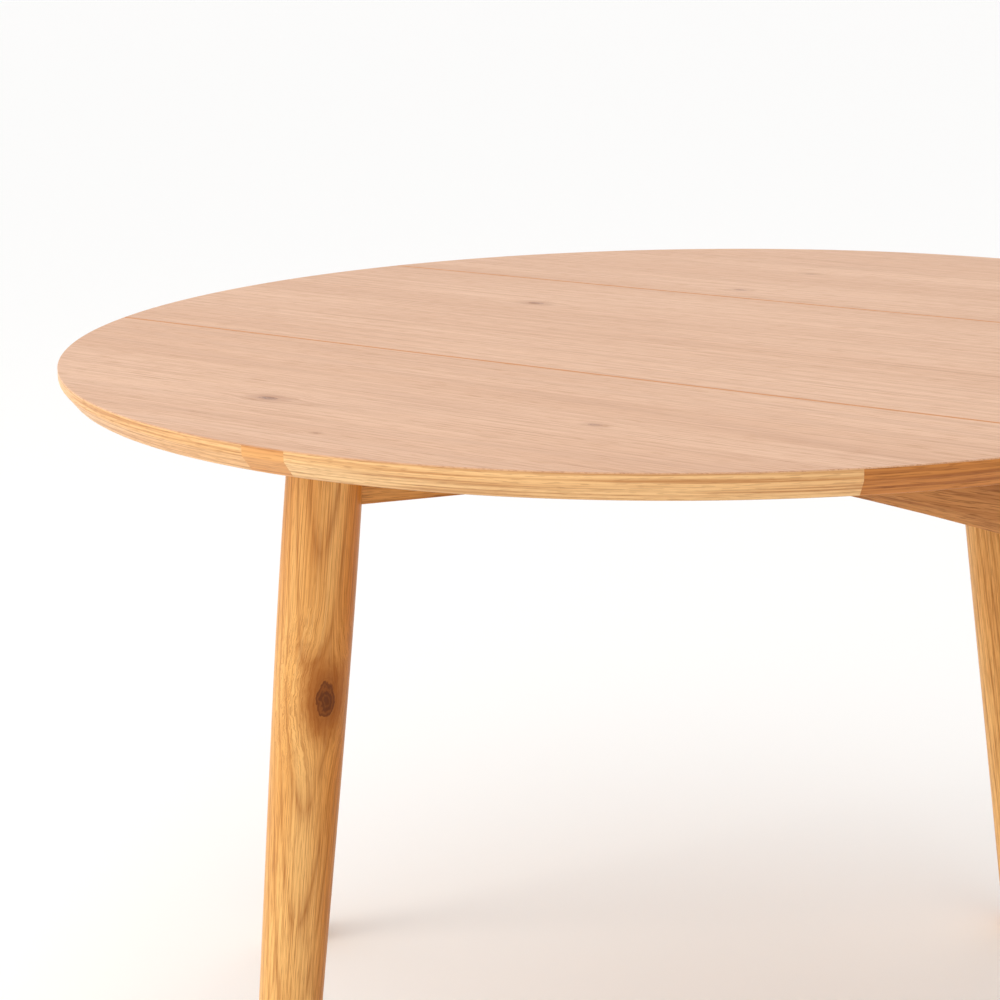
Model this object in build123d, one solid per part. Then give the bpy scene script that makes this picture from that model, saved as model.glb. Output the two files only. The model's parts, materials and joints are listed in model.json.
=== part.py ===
from build123d import *
import os
from math import cos, radians, sin, tan

# Round drop-leaf gateleg table in oak. Millimetres, +Z up, origin on the floor under the middle of the top.
# X runs along the two seams of the top. The front leaf is on the -Y side.

# ---- overall sizes ----
table_height = 750.0
top_diameter = 1200.0
top_thickness = 24.0
board_width = 426.0            # centre board, from seam to seam
seam_gap = 1.2

# ---- top ----
veneer_thickness = 1.0
lipping_width = 36.0
bevel_inset = 11.5             # under-bevel, measured inwards along the underside
bevel_height = 14.4
arris = 0.8                    # softened top edge of the lipping
leaf_joint_angles = (-136.0, -91.3, -87.0, -43.0)   # butt joints of the front leaf's lipping
leaf_lipping_names = ("left", "middle_left", "key", "middle_right", "right")

# ---- drop-leaf hinges ----
hinge_places = (-430.0, 0.0, 430.0)
hinge_length = 50.0
hinge_plate_depth = 32.0
hinge_plate_thickness = 2.0
hinge_knuckle_radius = 3.5
hinge_pin_radius = 2.0
hinge_knuckles = 5
hinge_running_clearance = 0.05
hinge_side_gap = 0.3
hinge_screw_radius = 1.75
hinge_screw_head_radius = 3.4
hinge_screw_length = 14.0
hinge_screw_spacing = 17.0

# ---- under-frame ----
frame_width = 276.0            # over the outer faces of the long rails
frame_length = 1104.0          # over the outer faces of the end rails
rail_thickness = 22.0
rail_middle_depth = 66.0
rail_end_depth = 110.0
rail_bevel_height = 12.0
rail_bevel_inset = 7.0
end_rail_thickness = 20.0
end_rail_middle_depth = 84.0
block_thickness = 28.0
block_length = 110.0
dowel_radius = 4.0
dowel_length = 40.0
dowel_in_rail = 14.0
dowel_drop = 30.0              # first dowel below the top's underside
dowel_spacing = 50.0
top_screw_radius = 2.5
top_screw_head_radius = 4.8
top_screw_length = 44.0
top_screw_inset = 18.0

# ---- legs ----
leg_splay = 6.0                # degrees from upright
fixed_leg_reach = 480.0        # leg axis from the middle, at the height of the top's underside
leg_foot_radius = 24.7
leg_shape = ((200.0, 27.8), (400.0, 31.0), (560.0, 33.0), (630.0, 33.2), (770.0, 31.4))
leg_foot_round = 2.5
glide_radius = 16.0
glide_thickness = 4.0
hanger_bolt_radius = 4.0
hanger_bolt_in_leg = 45.0
hanger_bolt_in_block = 20.0

# ---- gates ----
gate_pivot_x = 116.0           # front gate; the back gate is turned half round
gate_open_angle = 237.0        # direction of the open arm, in degrees from +X
gate_arm_length = 327.5        # pivot to the leg's axis, at the leg's head
gate_leg_clearance = 2.2       # folded gate leg to the long rail
arm_thickness = 28.0
arm_height = 51.0
arm_drop = 10.0                # arm's top below the top's underside
tenon_thickness = 12.0
tenon_height = 34.0
tenon_length = 26.0
pivot_pin_radius = 4.0
pivot_running_clearance = 0.05
pivot_head_radius = 7.0
pivot_head_thickness = 2.5
washer_radius = 11.0
washer_thickness = 1.0
washer_gap = 0.1
bracket_thickness = 4.0
bracket_plate_thickness = 3.0
bracket_width = 34.0
bracket_screw_radius = 2.2
bracket_screw_head_radius = 4.2
bracket_screw_length = 18.0
bracket_screw_rise = 14.0      # screws above and below the middle of the arm
pad_thickness = 1.2
pad_radius = 20.0
pad_gap = 0.3                  # felt to leaf
stop_length = 44.0
stop_width = 18.0
stop_height = 20.0
stop_inset = 69.0              # leg's axis back to the middle of the stop
stop_gap = 0.3

# ---- worked-out values ----
top_radius = top_diameter / 2
underside = table_height - top_thickness
core_radius = top_radius - lipping_width
veneer_bottom = table_height - veneer_thickness
half_board = board_width / 2
board_edge = half_board - seam_gap / 2
leaf_edge = half_board + seam_gap / 2
hinge_axis_z = underside - hinge_knuckle_radius - hinge_side_gap
half_frame_width = frame_width / 2
half_frame_length = frame_length / 2
rail_inner = half_frame_width - rail_thickness
end_rail_inner = half_frame_length - end_rail_thickness
block_bottom = underside - block_thickness
leg_max_radius = max(radius for height, radius in leg_shape)
gate_pivot_y = -(half_frame_width + gate_leg_clearance + leg_max_radius)
gate_leg_top = underside - pad_gap - pad_thickness
arm_top = underside - arm_drop
arm_bottom = arm_top - arm_height
arm_middle = (arm_top + arm_bottom) / 2
big = 2 * top_diameter         # larger than anything it cuts


def place_box(x, y, z):
    """Box from its low and high limits in x, y and z."""
    size = (x[1] - x[0], y[1] - y[0], z[1] - z[0])
    middle = ((x[0] + x[1]) / 2, (y[0] + y[1]) / 2, (z[0] + z[1]) / 2)
    return Pos(*middle) * Box(*size)


def rod(radius, low, high, x=0.0, y=0.0):
    """Upright cylinder between two heights."""
    return Pos(x, y, (low + high) / 2) * Cylinder(radius, high - low)


def turn(shape, angle):
    """The shape turned about the table's upright axis."""
    return Rot(0, 0, angle) * shape


def screw_up(radius, head_radius, length, x, y, z):
    """Countersunk screw driven upwards, its head flush with height z."""
    head = head_radius - radius
    cone = Pos(x, y, z + head / 2) * Cone(head_radius, radius, head)
    return cone + rod(radius, z + head / 2, z + length, x, y)


def group(shapes):
    """Separate solids kept together as one piece file."""
    return Compound(children=list(shapes))


def cut_with(shape, tools):
    """The shape less every solid in a list."""
    for tool in tools:
        shape = shape - tool
    return shape


# ---- top ----
def top_blank():
    """The whole round top below its veneer, with the bevelled underside."""
    profile = Polyline(
        (0, underside),
        (top_radius - bevel_inset, underside),
        (top_radius, underside + bevel_height),
        (top_radius, veneer_bottom),
        (0, veneer_bottom),
        close=True,
    )
    return revolve(Plane.XZ * make_face(profile), Axis.Z, 360)


def veneer_blank():
    """Face veneer of the whole top, with a softened arris."""
    disc = rod(top_radius, veneer_bottom, table_height)
    return chamfer(disc.edges().sort_by(Axis.Z)[-1], arris / 2)


def board_zone():
    return place_box((-big, big), (-board_edge, board_edge), (0, big))


def leaf_zone():
    return place_box((-big, big), (-big, -leaf_edge), (0, big))


def wedge(start, end):
    """Upright wedge between two directions in degrees, from the table's axis outwards."""
    reach = big / cos(radians((end - start) / 2))
    corners = [(0, 0)] + [(reach * cos(radians(a)), reach * sin(radians(a))) for a in (start, end)]
    return extrude(make_face(Polyline(*corners, close=True)), table_height)


def lipping_ring():
    return top_blank() - rod(core_radius, 0, table_height)


def leaf_lipping(index):
    """One curved lipping piece of the front leaf."""
    limits = (-170.0,) + leaf_joint_angles + (-10.0,)
    return lipping_ring() & leaf_zone() & wedge(limits[index], limits[index + 1])


# ---- drop-leaf hinges, front seam ----
def hinge_screws(side):
    """Screws of the front seam's plates: side +1 is the centre board, -1 the leaf."""
    screws = []
    for place in hinge_places:
        for step, depth in ((-1, 0.5), (0, 0.78), (1, 0.5)):
            x = place + step * hinge_screw_spacing
            y = -half_board + side * depth * hinge_plate_depth
            z = underside - hinge_plate_thickness
            screws.append(screw_up(hinge_screw_radius, hinge_screw_head_radius, hinge_screw_length, x, y, z))
    return screws


def hinge_bar(radius, x_low, x_high):
    """Cylinder along the front hinge line."""
    bar = Rot(0, 90, 0) * Cylinder(radius, x_high - x_low)
    return Pos((x_low + x_high) / 2, -half_board, hinge_axis_z) * bar


def hinge_plates(side):
    """Front seam's plates with their knuckles: side +1 is the centre board, -1 the leaf."""
    plates = []
    knuckle = hinge_length / hinge_knuckles
    for place in hinge_places:
        y = sorted((-half_board + side * hinge_side_gap, -half_board + side * hinge_plate_depth))
        x = (place - hinge_length / 2, place + hinge_length / 2)
        plate = place_box(x, y, (underside - hinge_plate_thickness, underside))
        relief = hinge_knuckle_radius + hinge_side_gap
        web = hinge_knuckle_radius + 2 * hinge_side_gap
        plate = plate - hinge_bar(relief, x[0] - 1, x[1] + 1)
        for index in range(hinge_knuckles):
            own = (index % 2 == 0) == (side > 0)
            if own:
                low = x[0] + index * knuckle + hinge_side_gap / 2
                high = x[0] + (index + 1) * knuckle - hinge_side_gap / 2
                web_y = sorted((-half_board, -half_board + side * web))
                web_z = (underside - hinge_plate_thickness, hinge_axis_z + hinge_knuckle_radius)
                plate = plate + place_box((low, high), web_y, web_z)
                plate = plate + hinge_bar(hinge_knuckle_radius, low, high)
        clearance = 0.0 if side > 0 else hinge_running_clearance
        plate = plate - hinge_bar(hinge_pin_radius + clearance, x[0] - 1, x[1] + 1)
        plates.append(plate)
    return [cut_with(plate, hinge_screws(side)) for plate in plates]


def hinge_pins():
    half = hinge_length / 2
    return [hinge_bar(hinge_pin_radius, place - half, place + half) for place in hinge_places]


# ---- under-frame ----
def arched_board(half_length, end_depth, middle_depth, thickness):
    """Board on edge under the top, along X, with an arched lower edge; y from 0 to thickness."""
    ends = underside - end_depth
    middle = underside - middle_depth
    arch = ThreePointArc((-half_length, ends), (0, middle), (half_length, ends))
    sides = Polyline(
        (half_length, ends), (half_length, underside), (-half_length, underside), (-half_length, ends)
    )
    board = extrude(Plane.XZ * make_face(arch + sides), thickness)
    return Pos(0, thickness, 0) * board


def front_rail_blank():
    """Front long rail, with the bevel along the outer lower edge."""
    rail = arched_board(half_frame_length, rail_end_depth, rail_middle_depth, rail_thickness)
    rail = Pos(0, -half_frame_width, 0) * rail
    outer = rail.faces().sort_by(Axis.Y)[0]
    lower = [e for e in outer.edges() if e.geom_type == GeomType.CIRCLE]
    return chamfer(lower, rail_bevel_height, rail_bevel_inset, reference=outer)


def end_rail_blank():
    """Right end rail, between the long rails."""
    depth = rail_end_depth - rail_bevel_height
    rail = arched_board(rail_inner, depth, end_rail_middle_depth, end_rail_thickness)
    rail = Rot(0, 0, 90) * rail
    return Pos(half_frame_length, 0, 0) * rail


def rail_dowels():
    """Dowels between the long rails and the end rails, two at each corner."""
    dowels = []
    for side_x in (-1, 1):
        for side_y in (-1, 1):
            for index in range(2):
                x = side_x * (half_frame_length - end_rail_thickness / 2)
                y = side_y * (rail_inner + dowel_in_rail - dowel_length / 2)
                z = underside - dowel_drop - index * dowel_spacing
                dowels.append(Pos(x, y, z) * Rot(90, 0, 0) * Cylinder(dowel_radius, dowel_length))
    return dowels


def leg_block_blank():
    """Block under the right end of the centre board that carries the fixed leg."""
    x = (end_rail_inner - block_length, end_rail_inner)
    return place_box(x, (-rail_inner, rail_inner), (block_bottom, underside))


def top_screws():
    """Screws up through both leg blocks into the centre board."""
    screws = []
    for side_x in (-1, 1):
        for along in (end_rail_inner - top_screw_inset, end_rail_inner - block_length + top_screw_inset):
            for across in (-1, 1):
                y = across * (rail_inner - 2 * top_screw_inset)
                x, z = side_x * along, block_bottom
                screws.append(screw_up(top_screw_radius, top_screw_head_radius, top_screw_length, x, y, z))
    return screws


# ---- legs ----
def splayed_leg(reach, top):
    """Round tapered leg splayed towards +X; its axis passes x = reach at the top's underside."""
    lean = radians(leg_splay)
    below = 20.0
    curve = Spline((leg_foot_radius, 0), *[(radius, height) for height, radius in leg_shape])
    foot = Polyline((leg_foot_radius, 0), (leg_foot_radius, -below), (0, -below), (0, leg_shape[-1][0]))
    head = Line((0, leg_shape[-1][0]), (leg_shape[-1][1], leg_shape[-1][0]))
    blank = revolve(Plane.XZ * make_face(curve + foot + head), Axis.Z, 360)
    foot_x = reach + tan(lean) * (underside - glide_thickness)
    leg = Pos(foot_x, 0, glide_thickness) * Rot(0, -leg_splay, 0) * blank
    leg = leg & place_box((-big, big), (-big, big), (glide_thickness, top))
    rim = leg.edges().sort_by(Axis.Z)[0]
    return chamfer(rim, leg_foot_round)


def leg_glide(reach):
    foot_x = reach + tan(radians(leg_splay)) * (underside - glide_thickness)
    return rod(glide_radius, 0, glide_thickness, foot_x, 0)


def hanger_bolt():
    """Bolt along the right fixed leg's axis, from the leg into its block."""
    lean = radians(leg_splay)
    length = hanger_bolt_in_leg + hanger_bolt_in_block
    x = fixed_leg_reach + tan(lean) * (underside - block_bottom)
    along = (hanger_bolt_in_block - hanger_bolt_in_leg) / 2
    bolt = Rot(0, -leg_splay, 0) * Pos(0, 0, along) * Cylinder(hanger_bolt_radius, length)
    return Pos(x, 0, block_bottom) * bolt


# ---- front gate; built along +X from the pivot, then turned to its open direction ----
def to_gate(shape):
    return Pos(gate_pivot_x, gate_pivot_y, 0) * Rot(0, 0, gate_open_angle) * shape


def gate_leg_blank():
    return splayed_leg(gate_arm_length, gate_leg_top)


def gate_tenon():
    x = (gate_arm_length - tenon_length, gate_arm_length)
    y = (-tenon_thickness / 2, tenon_thickness / 2)
    return place_box(x, y, (arm_middle - tenon_height / 2, arm_middle + tenon_height / 2))


def gate_arm():
    """Arm with a rounded, bored end at the pivot, scribed to the leg and tenoned into it."""
    half = arm_thickness / 2
    beam = place_box((0, gate_arm_length), (-half, half), (arm_bottom, arm_top))
    arm = beam + rod(half, arm_bottom, arm_top) - gate_leg_blank()
    arm = arm.solids().sort_by(Axis.X)[0] + gate_tenon()
    return arm - rod(pivot_pin_radius + pivot_running_clearance, 0, table_height)


def gate_leg():
    return gate_leg_blank() - gate_tenon()


def gate_pad():
    return rod(pad_radius, gate_leg_top, gate_leg_top + pad_thickness, gate_arm_length, 0)


def gate_stop():
    """Stop block under the leaf, beside the open arm."""
    near = arm_thickness / 2 + stop_gap
    middle = gate_arm_length - stop_inset
    x = (middle - stop_length / 2, middle + stop_length / 2)
    return place_box(x, (near, near + stop_width), (underside - stop_height, underside))


def ear_faces():
    """Inner faces of the bracket's lower and upper ears."""
    room = washer_thickness + washer_gap
    return arm_bottom - room, arm_top + room


def bracket_screws():
    """Screws through the bracket's plate into the front rail, two above two."""
    screws = []
    for rise in (-1, 1):
        for step in (-1, 1):
            x = gate_pivot_x + step * bracket_width / 4
            z = arm_middle + rise * bracket_screw_rise
            screw = screw_up(bracket_screw_radius, bracket_screw_head_radius, bracket_screw_length, 0, 0, 0)
            y = -half_frame_width - bracket_plate_thickness
            screws.append(Pos(x, y, z) * Rot(-90, 0, 0) * screw)
    return screws


def gate_bracket():
    """Steel bracket on the rail's outer face with two ears that hold the pivot pin."""
    low, high = ear_faces()
    face = -half_frame_width
    half = bracket_width / 2
    x = (gate_pivot_x - half, gate_pivot_x + half)
    z = (low - bracket_thickness, high + bracket_thickness)
    bracket = place_box(x, (face - bracket_plate_thickness, face), z)
    for ear in ((z[0], low), (high, z[1])):
        bracket = bracket + place_box(x, (gate_pivot_y, face), ear)
        bracket = bracket + rod(half, ear[0], ear[1], gate_pivot_x, gate_pivot_y)
    bracket = bracket - rod(pivot_pin_radius, 0, table_height, gate_pivot_x, gate_pivot_y)
    return cut_with(bracket, bracket_screws())


def pivot_pin():
    low, high = ear_faces()
    ends = (low - bracket_thickness, high + bracket_thickness)
    pin = rod(pivot_pin_radius, ends[0] - pivot_head_thickness, ends[1], gate_pivot_x, gate_pivot_y)
    head = rod(pivot_head_radius, ends[0] - pivot_head_thickness, ends[0], gate_pivot_x, gate_pivot_y)
    return pin + head


def pivot_washers():
    low, high = ear_faces()
    washers = []
    for z in ((low, low + washer_thickness), (high - washer_thickness, high)):
        ring = rod(washer_radius, z[0], z[1], gate_pivot_x, gate_pivot_y)
        washers.append(ring - rod(pivot_pin_radius, 0, table_height, gate_pivot_x, gate_pivot_y))
    return washers


# ---- every piece by its name ----
pieces = {}
board_screws = hinge_screws(1)
leaf_screws = hinge_screws(-1)
all_board_screws = board_screws + [turn(s, 180) for s in board_screws] + top_screws()
pieces["centre_board_core"] = cut_with(
    rod(core_radius, underside, veneer_bottom) & board_zone(), all_board_screws
)
pieces["centre_board_veneer"] = veneer_blank() & board_zone()
right_lipping = lipping_ring() & board_zone() & wedge(-30.0, 30.0)
pieces["centre_board_lipping_right"] = right_lipping
pieces["centre_board_lipping_left"] = turn(right_lipping, 180)

front = {
    "leaf_core": cut_with(rod(core_radius, underside, veneer_bottom) & leaf_zone(), leaf_screws),
    "leaf_veneer": veneer_blank() & leaf_zone(),
    "hinge_board_plates": group(hinge_plates(1)),
    "hinge_leaf_plates": group(hinge_plates(-1)),
    "hinge_pins": group(hinge_pins()),
    "hinge_board_screws": group(board_screws),
    "hinge_leaf_screws": group(leaf_screws),
    "rail": cut_with(front_rail_blank(), rail_dowels() + bracket_screws()),
    "gate_leg": to_gate(gate_leg()),
    "gate_arm": to_gate(gate_arm()),
    "gate_pad": to_gate(gate_pad()),
    "gate_glide": to_gate(leg_glide(gate_arm_length)),
    "gate_stop": to_gate(gate_stop()),
    "gate_bracket": gate_bracket(),
    "gate_bracket_screws": group(bracket_screws()),
    "gate_pin": pivot_pin(),
    "gate_washers": group(pivot_washers()),
}
for index, place in enumerate(leaf_lipping_names):
    front["leaf_lipping_" + place] = leaf_lipping(index)
for name, shape in front.items():
    pieces["front_" + name] = shape
    pieces["back_" + name] = turn(shape, 180)

right_leg = splayed_leg(fixed_leg_reach, block_bottom) - hanger_bolt()
right = {
    "end_rail": cut_with(end_rail_blank(), rail_dowels()),
    "leg_block": cut_with(leg_block_blank(), top_screws() + [hanger_bolt()]),
    "leg": right_leg,
    "leg_glide": leg_glide(fixed_leg_reach),
}
for name, shape in right.items():
    pieces["right_" + name] = shape
    pieces["left_" + name] = turn(shape, 180)
pieces["leg_hanger_bolts"] = group([hanger_bolt(), turn(hanger_bolt(), 180)])
pieces["rail_dowels"] = group(rail_dowels())
pieces["top_screws"] = group(top_screws())

os.makedirs("parts", exist_ok=True)
for name, shape in pieces.items():
    export_step(shape, f"parts/{name}.step")
print(len(pieces), "pieces; gate pivot", gate_pivot_x, round(gate_pivot_y, 2))
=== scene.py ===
"""A round oak gateleg table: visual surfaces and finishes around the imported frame."""

import json
import logging
import math
from dataclasses import dataclass, field, replace
from enum import Enum

import bpy
import numpy as np
from mathutils import Matrix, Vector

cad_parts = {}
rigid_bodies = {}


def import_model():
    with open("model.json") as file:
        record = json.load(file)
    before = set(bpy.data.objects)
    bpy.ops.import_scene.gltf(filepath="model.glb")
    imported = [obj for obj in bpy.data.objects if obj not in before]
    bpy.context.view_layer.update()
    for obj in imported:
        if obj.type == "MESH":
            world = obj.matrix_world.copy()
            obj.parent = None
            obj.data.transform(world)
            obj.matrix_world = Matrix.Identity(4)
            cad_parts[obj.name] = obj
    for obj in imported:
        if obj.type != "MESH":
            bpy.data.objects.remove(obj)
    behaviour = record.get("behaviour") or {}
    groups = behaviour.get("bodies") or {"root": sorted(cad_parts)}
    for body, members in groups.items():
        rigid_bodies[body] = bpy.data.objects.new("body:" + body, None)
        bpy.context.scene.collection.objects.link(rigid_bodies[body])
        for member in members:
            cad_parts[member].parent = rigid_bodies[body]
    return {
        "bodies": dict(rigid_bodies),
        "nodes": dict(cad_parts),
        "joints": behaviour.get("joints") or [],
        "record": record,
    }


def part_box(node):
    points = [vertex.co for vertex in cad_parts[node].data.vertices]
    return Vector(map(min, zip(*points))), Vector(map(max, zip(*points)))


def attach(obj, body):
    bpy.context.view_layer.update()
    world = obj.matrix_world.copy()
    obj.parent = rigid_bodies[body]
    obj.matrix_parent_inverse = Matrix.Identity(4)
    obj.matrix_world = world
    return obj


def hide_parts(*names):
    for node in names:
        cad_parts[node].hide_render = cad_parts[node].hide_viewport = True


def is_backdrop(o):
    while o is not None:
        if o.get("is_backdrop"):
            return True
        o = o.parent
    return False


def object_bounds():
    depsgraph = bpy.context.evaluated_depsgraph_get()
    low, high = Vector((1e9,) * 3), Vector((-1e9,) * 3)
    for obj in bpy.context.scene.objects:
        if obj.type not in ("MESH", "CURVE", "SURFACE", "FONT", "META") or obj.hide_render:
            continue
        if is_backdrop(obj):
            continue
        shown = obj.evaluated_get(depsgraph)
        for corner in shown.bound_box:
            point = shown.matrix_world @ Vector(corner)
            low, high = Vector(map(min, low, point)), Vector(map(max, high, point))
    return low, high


LOG = logging.getLogger("gateleg_table")
MM = 0.001
Socket = bpy.types.NodeSocket


# ---------------------------------------------------------------- colour and nodes
def linear(hex_colour: str) -> tuple[float, float, float, float]:
    """Turn an sRGB hex colour into a linear colour.

    Args:
        hex_colour: six hex digits, such as "e9c3a2".

    Returns:
        Linear red, green and blue with an alpha of 1.
    """
    parts = [int(hex_colour[i : i + 2], 16) / 255.0 for i in (0, 2, 4)]
    flat = [c / 12.92 if c <= 0.04045 else ((c + 0.055) / 1.055) ** 2.4 for c in parts]
    return (flat[0], flat[1], flat[2], 1.0)


class Pattern:
    """A node tree that is being written for one material."""

    def __init__(self, name: str) -> None:
        """Start an empty material with an output and a Principled shader."""
        self.material = bpy.data.materials.new(name)
        self.material.use_nodes = True
        self.tree = self.material.node_tree
        self.tree.nodes.clear()
        self.output = self.node("ShaderNodeOutputMaterial")
        self.shader = self.node("ShaderNodeBsdfPrincipled")
        self.link(self.shader.outputs["BSDF"], self.output.inputs["Surface"])

    def node(self, kind: str, settings: dict | None = None, **values: object) -> bpy.types.Node:
        """Add a node with its settings and input values or links.

        Args:
            kind: Blender's name for the node.
            settings: attributes of the node itself.
            values: inputs by name, "_" for a blank and "i3" for the input numbered 3.

        Returns:
            The new node.
        """
        made = self.tree.nodes.new(kind)
        for key, value in (settings or {}).items():
            setattr(made, key, value)
        for key, value in values.items():
            by_number = key[0] == "i" and key[1:].isdigit()
            socket = made.inputs[int(key[1:])] if by_number else made.inputs[key.replace("_", " ")]
            if isinstance(value, Socket):
                self.tree.links.new(value, socket)
            else:
                socket.default_value = value
        return made

    def link(self, source: Socket, target: Socket) -> None:
        """Join two sockets."""
        self.tree.links.new(source, target)

    def math(self, operation: str, a: object, b: object = 0.0, c: object = 0.0) -> Socket:
        """Return the result of one sum on numbers or sockets."""
        made = self.node("ShaderNodeMath", {"operation": operation}, i0=a, i1=b, i2=c)
        return made.outputs[0]

    def vector(self, operation: str, a: object, b: object = (0.0, 0.0, 0.0)) -> Socket:
        """Return the result of one vector sum on vectors or sockets."""
        made = self.node("ShaderNodeVectorMath", {"operation": operation}, i0=a, i1=b)
        return made.outputs["Value" if operation in ("LENGTH", "DISTANCE") else "Vector"]

    def noise(self, place: object, scale: tuple[float, float, float], detail: float = 2.0) -> Socket:
        """Return noise with its own scale on each axis, in features per metre."""
        stretched = self.vector("MULTIPLY", place, scale)
        made = self.node("ShaderNodeTexNoise", Vector=stretched, Scale=1.0, Detail=detail, Roughness=0.55)
        return made.outputs[0]

    def ease(self, value: object, low: float, high: float) -> Socket:
        """Return 0 below low, 1 above high and a smooth step between them."""
        smooth = {"interpolation_type": "SMOOTHSTEP"}
        made = self.node("ShaderNodeMapRange", smooth, i0=value, i1=low, i2=high, i3=0.0, i4=1.0)
        return made.outputs[0]

    def fade(self, value: object, low: float, high: float) -> Socket:
        """Return 1 below low, 0 above high and a smooth step between them."""
        return self.math("SUBTRACT", 1.0, self.ease(value, low, high))

    def share(self, value: object, amount: object) -> Socket:
        """Return a value times an amount."""
        return self.math("MULTIPLY", value, amount)

    def tint(self, amount: object, colour: object, over: object) -> Socket:
        """Return one colour laid over another by an amount."""
        made = self.node("ShaderNodeMix", {"data_type": "RGBA"}, i0=amount, i6=over, i7=colour)
        return made.outputs[2]


# ---------------------------------------------------------------- finishes
# Grain of each noise: features per metre along the grain, across it and through it.
KNOT_EDGE_GRAIN = (90.0, 160.0, 160.0)
RING_STRAY_GRAIN = (1.3, 7.0, 7.0)
RING_RIPPLE_GRAIN = (2.5, 45.0, 45.0)
TONE_GRAIN = (1.1, 13.0, 13.0)
STREAKS_ALONG = 4.5
WIDE_STREAKS_ALONG = 2.2

# How a knot shows. Distances are in half widths of the knot.
KNOT_SHAPE = (0.55, 1.0, 0.8)      # under 1 is longer on that axis
KNOT_RAGGED = 0.9
KNOT_PUSH = 0.85                   # share by which the grain is pushed aside
KNOT_PUSH_REACH = 4.5
KNOT_RING_SPACING = 0.28
KNOT_RING_TONE = 0.18
KNOT_HEART_EDGE = (0.25, 1.45)
KNOT_STAIN_EDGE = (0.8, 2.7)
KNOT_STAIN_TONE = 0.40
KNOT_HEART = "54280a"

EDGING_TONE = "c58040"
EDGING_COVER = 0.90
LACQUER_IOR = 1.5
COAT_ROUGHNESS = 0.28
BUMP_DEPTH = 0.0004                # metres


@dataclass(frozen=True)
class Knot:
    """A pin knot: its place along, across and through the timber, and its half width, in metres."""

    place: tuple[float, float, float]
    half_width: float
    depth_of_tone: float = 1.0


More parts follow.
